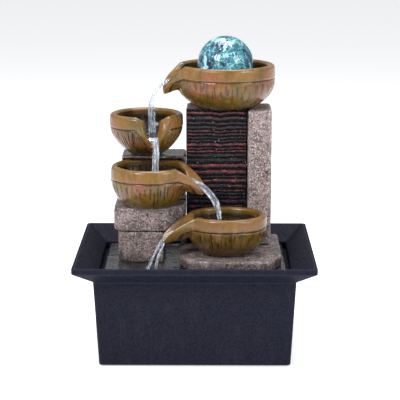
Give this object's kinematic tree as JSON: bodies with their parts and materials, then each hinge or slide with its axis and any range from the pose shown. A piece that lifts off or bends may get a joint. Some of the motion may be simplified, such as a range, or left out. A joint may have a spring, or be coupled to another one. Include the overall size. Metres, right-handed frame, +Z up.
{
  "type": "tabletop water fountain",
  "caption": "Tabletop water fountain: tapered basin with a flared rim, cast stone rockery, pouring bowls, slate water panel, lit glass ball, submersible pump.",
  "frame": {"origin": "middle of the footprint, on the surface that the rubber feet stand on", "axes": "+X to the right seen from the front, +Y to the back, +Z up"},
  "size_m": [0.21, 0.17, 0.2791],
  "materials": {
    "basin_plastic": "charcoal moulded plastic with a fine leather-like grain",
    "rubber": "matte black",
    "black_plastic": "satin black moulded plastic",
    "white_ceramic": "ground",
    "magnet_plastic": "moulded off-white plastic",
    "cast_stone": "cast resin stone, grey-pink granite speckle with brown stain, damp near the bottom",
    "slate": "wet black stacked slate with thin dull red highlights",
    "ochre_glaze": "glossy ochre and olive brown glaze with dark carved strokes",
    "crackle_glass": "blue-green crackle glass, lit from below",
    "clear_plastic": "clear moulded plastic",
    "filter_foam": "open-cell foam",
    "steel": "stainless",
    "water": "clear water, rippled"
  },
  "bodies": {
    "basin": {"basin": "basin_plastic", "front_left_foot": "rubber", "front_right_foot": "rubber", "rear_left_foot": "rubber", "rear_right_foot": "rubber", "power_inlet": "black_plastic", "inlet_nut": "black_plastic", "pump_housing": "black_plastic", "chamber_plate": "black_plastic", "pump_shaft": "white_ceramic", "suction_cup_1": "rubber", "suction_cup_2": "rubber", "suction_cup_3": "rubber", "suction_cup_4": "rubber", "pump_lead": "rubber", "light_socket": "black_plastic"},
    "rockery": {"base_plate": "cast_stone", "right_slab": "cast_stone", "left_lower_block": "cast_stone", "left_upper_block": "cast_stone", "rear_left_column": "cast_stone", "tower_core": "cast_stone", "slate_panel": "slate", "right_pillar": "cast_stone", "rear_cover": "cast_stone", "rear_cover_screw_1": "steel", "rear_cover_screw_2": "steel", "rear_cover_screw_3": "steel", "rear_cover_screw_4": "steel", "top_bowl": "ochre_glaze", "notched_bowl": "ochre_glaze", "middle_bowl": "ochre_glaze", "lower_bowl": "ochre_glaze", "nozzle": "black_plastic", "hose": "clear_plastic", "light_ring": "black_plastic", "light_lens": "clear_plastic", "light_lead": "rubber", "light_plug": "black_plastic"},
    "ball_cup": {"ball_cup": "clear_plastic"},
    "ball": {"glass_ball": "crackle_glass"},
    "impeller": {"impeller": "magnet_plastic"},
    "pump_cover": {"pump_cover": "black_plastic", "filter_foam": "filter_foam"},
    "flow_knob": {"flow_knob": "black_plastic"}
  },
  "joints": [
    {"name": "rockery_lift", "type": "slide", "parent": "basin", "child": "rockery", "axis": [0, 0, 1], "range_m": [0, 0.15]},
    {"name": "ball_cup_lift", "type": "slide", "parent": "rockery", "child": "ball_cup", "axis": [0, 0, 1], "range_m": [0, 0.04]},
    {"name": "ball_spin", "type": "hinge", "parent": "ball_cup", "child": "ball", "pos_m": [0.027, 0.038, 0.2537], "axis": [0, 0, 1], "continuous": true},
    {"name": "impeller_spin", "type": "hinge", "parent": "basin", "child": "impeller", "pos_m": [0.027, 0.026, 0.0268], "axis": [0, -1, 0], "continuous": true},
    {"name": "pump_cover_slide", "type": "slide", "parent": "basin", "child": "pump_cover", "axis": [0, -1, 0], "range_m": [0, 0.03]},
    {"name": "flow_knob_turn", "type": "hinge", "parent": "pump_cover", "child": "flow_knob", "pos_m": [0.027, 0.0077, 0.0268], "axis": [0, -1, 0], "range_deg": [0, 90]}
  ]
}
